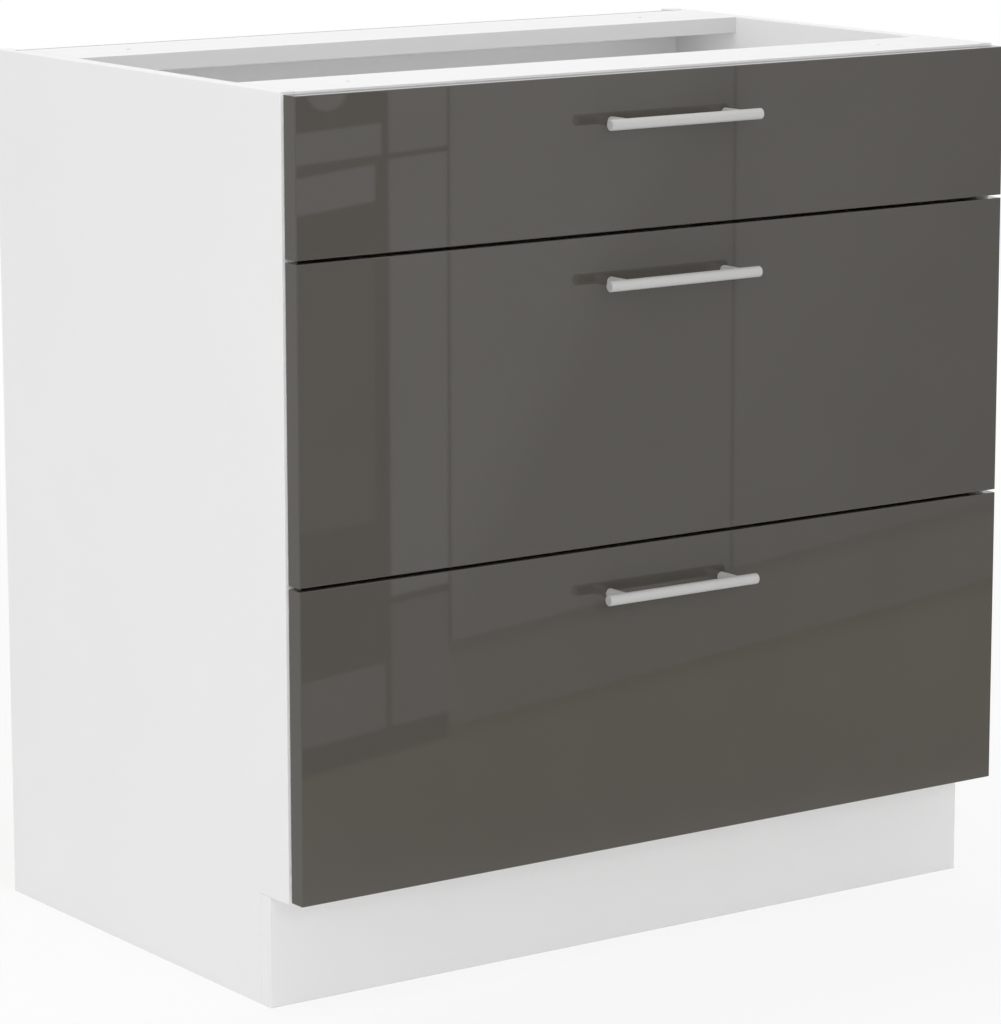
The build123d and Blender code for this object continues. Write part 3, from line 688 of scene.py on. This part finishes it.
reach, room_light = 12.0, 0.72
stage_card("floor", [(-reach, -reach, 0), (reach, -reach, 0), (reach, reach, 0), (-reach, reach, 0)],
           pale_floor(reach))
world = bpy.data.worlds.new("studio_room")
scene.world = world
world.use_nodes = True
world.node_tree.nodes.clear()
white_room = add(world, "Background", {"Color": linear("#FFFFFF"), "Strength": 1.0})
soft_room = add(world, "Background", {"Color": linear("#FFFFFF"), "Strength": room_light})
both = add(world, "MixShader", {0: looks(world), 1: soft_room.outputs[0], 2: white_room.outputs[0]})
add(world, "OutputWorld", {"Surface": both.outputs[0]})
print("floor reach", reach, "m")

# %% [markdown]
# The room gives most of the light. Three large soft lamps give the boards their slightly different
# whites: one above, which reaches through the open top, one on the left, and one ahead, which looks
# in over the front rail and under the fronts at the plinth. They are hidden from the mirrors, which
# see the cards below instead.

# %% Lamps
unit_middle = Vector((0, 0, 0.45))


def soft_lamp(name, place_at, size, watts):
    """A square lamp, size metres wide, that looks at the middle of the unit."""
    lamp = bpy.data.lights.new(name, "AREA")
    lamp.shape, lamp.size, lamp.energy = "SQUARE", size, watts
    lamp_object = bpy.data.objects.new(name, lamp)
    spot = Vector(place_at)
    lamp_object.location = spot
    lamp_object.rotation_euler = (unit_middle - spot).to_track_quat("-Z", "Y").to_euler()
    lamp_object.visible_camera = False
    lamp_object.visible_glossy = False
    scene.collection.objects.link(lamp_object)


soft_lamp("lamp_above", (-0.2, 0.0, 3.6), 2.0, 21.5)
soft_lamp("lamp_left", (-3.4, -1.3, 1.4), 2.4, 13)
soft_lamp("lamp_front", (-1.2, -3.6, 1.7), 0.9, 13)
print("lamps", len(bpy.data.lights))

# %% [markdown]
# High gloss only shows when there is something to mirror. In a studio, cards and dark flags are put
# beside the set for that, so we stand a row of them ahead on the right, where the fronts mirror them
# towards the camera, a plainer row ahead on the left, for a look from the other side, and one card
# beside the unit for the side edges of the fronts. They glow, but only glossy rays see them, so what
# the fronts show of them is a painted reflection: they give no light, no shadow and no picture.

# %% Cards that the gloss mirrors
# The row's plane and three planes just behind it, and the stretch along Y where cards pale near the unit.
row, row_back, flag_row, last_row = -1.0, -1.001, -1.02, -1.03
pale_row, full_row = -0.45, -0.65
ceiling, far_left, far_right = 1.1, -0.5, 1.6
fade_end, strip_left, strip_right = 0.03, 0.1995, 0.2748


def mirror_card(name, corners, tone, turn=None, fade=(far_left, fade_end)):
    """A glowing card that only glossy rays see. It pales to white near the unit and, along X, from the second
    place of fade to the first, so that it has no hard end where other views mirror it. A turn is a
    direction, the two distances along it between which the card changes to another tone, and that tone."""
    finish, where = new_finish(f"card_tone_{name}")
    position, colour = where.outputs["Object"], linear(tone)
    if turn:
        direction, first, last, other = turn
        along = add(finish, "VectorMath", {0: position, 1: direction}, operation="DOT_PRODUCT")
        part = add(finish, "MapRange", {"Value": along.outputs["Value"], "From Min": first, "From Max": last},
                   interpolation_type="SMOOTHSTEP")
        colour = add(finish, "Mix", {0: part.outputs[0], MIX_A: colour, MIX_B: linear(other)},
                     data_type="RGBA").outputs[MIX_COLOUR]
    if fade:
        spot = add(finish, "SeparateXYZ", {"Vector": position})
        across = add(finish, "MapRange", {"Value": spot.outputs[0], "From Min": fade[0], "From Max": fade[1]},
                     interpolation_type="SMOOTHSTEP")
        near = add(finish, "MapRange", {"Value": spot.outputs[1], "From Min": pale_row, "From Max": full_row},
                   interpolation_type="SMOOTHSTEP")
        share = add(finish, "Math", {0: across.outputs[0], 1: near.outputs[0]}, operation="MULTIPLY")
        colour = add(finish, "Mix", {0: share.outputs[0], MIX_A: linear("#FFFFFF"), MIX_B: colour},
                     data_type="RGBA").outputs[MIX_COLOUR]
    glow = add(finish, "Emission", {"Color": colour})
    card = stage_card(f"card_{name}", corners, close_finish(finish, glow.outputs[0]))
    card.visible_camera = card.visible_diffuse = card.visible_shadow = False
    card.visible_transmission = card.visible_volume_scatter = False


def upright(left, right, foot, top, y=row, rise=0.0, top_rise=None):
    """Corners of an upright card. Its foot and top, given at x = 0, climb by rise metres in each metre, or
    the top by top_rise where that is given."""
    top_rise = rise if top_rise is None else top_rise
    return [(left, y, foot + rise * left), (right, y, foot + rise * right),
            (right, y, top + top_rise * right), (left, y, top + top_rise * left)]


def oval(x, z, half_width, half_height, y=row, steps=32):
    """Corners of an oval card: x + half_width * cos(a) and z + half_height * sin(a), with a once round."""
    angle = np.linspace(0, 2 * np.pi, steps, endpoint=False)
    across, height = x + half_width * np.cos(angle), z + half_height * np.sin(angle)
    return np.stack([across, np.full_like(angle, y), height], axis=-1).tolist()


def lying(outline, height):
    """Corners of a card that lies flat at a height; its outline is places (x, y), counted round."""
    return [(x, y, height) for x, y in outline]


print("cards stand", round(1000 * (front_face - row)), "mm ahead of the fronts")

# %% [markdown]
# On the left hang a dark flag and some small pale cards before it, one of them round. Then follow a
# narrow strip of three cards and two wide sheets, with dark seams between them. Their feet climb to
# the right, as those of a row that is turned away from us do. The sheets grow darker to the right and
# below. A base and a warm brown floor cloth carry painted shade where they meet what is above them,
# and a dark card lying on the floor is the flag's painted shadow.

# %% Hang the cards
dark, white, warm, climb = "#A6A6A1", "#FFFFFF", "#DDD5C0", 0.09
to_lower_right, above_climb, to_unit = (1.0, 0.0, -0.62), (-climb, 0.0, 1.0), (0.0, 1.0, 0.0)
sheet_foot, base_foot, shade, lap = 0.091, -0.004, 0.03, 0.002
mirror_card("back_flag", upright(strip_left, far_right, 0, ceiling, last_row), "#9C9C98")
mirror_card("dark_flag", upright(far_left, strip_right, 0, ceiling, flag_row), dark)
mirror_card("pale_round", oval(0.1222, 0.7295, 0.0245, 0.0201), white)
mirror_card("pale_high", upright(far_left, 0.1903, 0.6495, 0.6832, rise=0.05), white)
mirror_card("pale_low", upright(far_left, 0.1817, 0.5923, 0.632, rise=0.095), white)
mirror_card("grey_panel", upright(far_left, 0.1806, 0.2555, 0.548, rise=0.039), "#C4C4BF")
mirror_card("low_panel", upright(far_left, 0.1915, 0.0147, 0.0878, rise=0.086), "#DDDDD9")
# Each card of the strip: its foot and top at x = 0, the rise of both, and its tone.
low_rise, high_rise = 0.08, 0.05
strips = [(0.0163, 0.1524, low_rise, low_rise, "#DADAD7"), (0.1609, 0.6433, low_rise, high_rise, white),
          (0.6492, ceiling, high_rise, high_rise, white)]
for step, (foot, top, rise, top_rise, tone) in enumerate(strips):
    strip = upright(strip_left, strip_right, foot, top, rise=rise, top_rise=top_rise)
    mirror_card(f"strip_{step}", strip, tone)
mirror_card("wide_sheet", upright(0.2787, 0.6655, sheet_foot, ceiling, rise=climb), white,
            (to_lower_right, 0.1, 0.24, "#E1E1DF"))
mirror_card("side_sheet", upright(0.6695, far_right, sheet_foot, ceiling, rise=climb), "#ECECEA",
            (to_lower_right, 0.3, 0.85, "#D0D0CD"))
# The base sheet and the warm base turn darker just under their top edges: painted shade below what is above
# them.
mirror_card("base_sheet", upright(strip_right, far_right, base_foot, sheet_foot, rise=climb), "#D8D6D1",
            (above_climb, sheet_foot - shade, sheet_foot, "#BCBAB5"))
mirror_card("warm_base", upright(strip_right, far_right, -0.2, base_foot + lap, row_back, climb), warm,
            (above_climb, base_foot - shade, base_foot, "#C4BCA7"))
# The far end of the floor cloth, under the warm base, is a little darker and warmer: painted shade.
cloth = [(far_left, flag_row), (far_right, flag_row), (far_right, pale_row), (far_left, pale_row)]
mirror_card("warm_floor", lying(cloth, height=0.002), warm, (to_unit, -0.9, -0.7, "#DED8CC"))
# The flag's painted shadow on the floor is a dark lying card that ends softly, between two distances along a
# direction that slants to the right.
shade_way, shade_start, shade_end = (0.265, 1.0, 0.0), -0.957, -0.929
flag_shade = [(far_left, flag_row), (0.343, flag_row), (far_left, -0.797)]
mirror_card("painted_flag_shadow", lying(flag_shade, height=0.003), dark, (shade_way, shade_start, shade_end, warm))

# %% [markdown]
# The row on the left is simpler: a grey flag with three tall white panes before it, like a window. The
# last card stands close beside the unit, where the side edges of the fronts mirror it.

# %% Hang the plainer row and the side card
left_end, left_fade = -2.2, (far_left, -0.8)
pane_lefts, pane_width, pane_foot = (-1.5, -1.06, -0.84), 0.2, 0.12
side_x, side_front, side_rear, side_top = -0.55, -0.24, 0.6, 0.9
mirror_card("left_flag", upright(left_end, far_left, 0, ceiling, flag_row), "#B0B0AB", fade=left_fade)
for step, left in enumerate(pane_lefts):
    mirror_card(f"left_pane_{step}", upright(left, left + pane_width, pane_foot, ceiling), white, fade=None)
mirror_card("side_card", [(side_x, side_front, 0), (side_x, side_rear, 0), (side_x, side_rear, side_top),
                          (side_x, side_front, side_top)], "#D8D8D4", fade=None)

# %% [markdown]
# The camera stands to the left of the unit, a little above it and far away, so it has a long lens. Its
# pose was fitted to the corners of the unit once and is written down here.

# %% Camera
eye = Vector((-2.4320, -3.4459, 1.2034))
yaw, pitch, roll = math.radians(35.057), math.radians(11.115), math.radians(-0.080)
focal_pixels, long_side, sensor = 4475.79, 1024, 36.0
sight = Vector((math.sin(yaw) * math.cos(pitch), math.cos(yaw) * math.cos(pitch), -math.sin(pitch)))
camera = bpy.data.cameras.new("camera")
camera.sensor_fit = "AUTO"
camera.sensor_width = sensor
camera.lens = focal_pixels * sensor / long_side
camera.clip_end = 100
camera_object = bpy.data.objects.new("camera", camera)
camera_turn = sight.to_track_quat("-Z", "Y").to_matrix() @ Matrix.Rotation(roll, 3, "Z")
camera_object.matrix_world = Matrix.Translation(eye) @ camera_turn.to_4x4()
scene.collection.objects.link(camera_object)
scene.camera = camera_object
print("lens", round(camera.lens, 1), "mm")

# %% Compare the boxes
dressed_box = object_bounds()
cad_size, dressed_size = cad_box[1] - cad_box[0], dressed_box[1] - dressed_box[0]
print("grown by", [round(1000 * (after - before), 3) for before, after in zip(cad_size, dressed_size)], "mm")
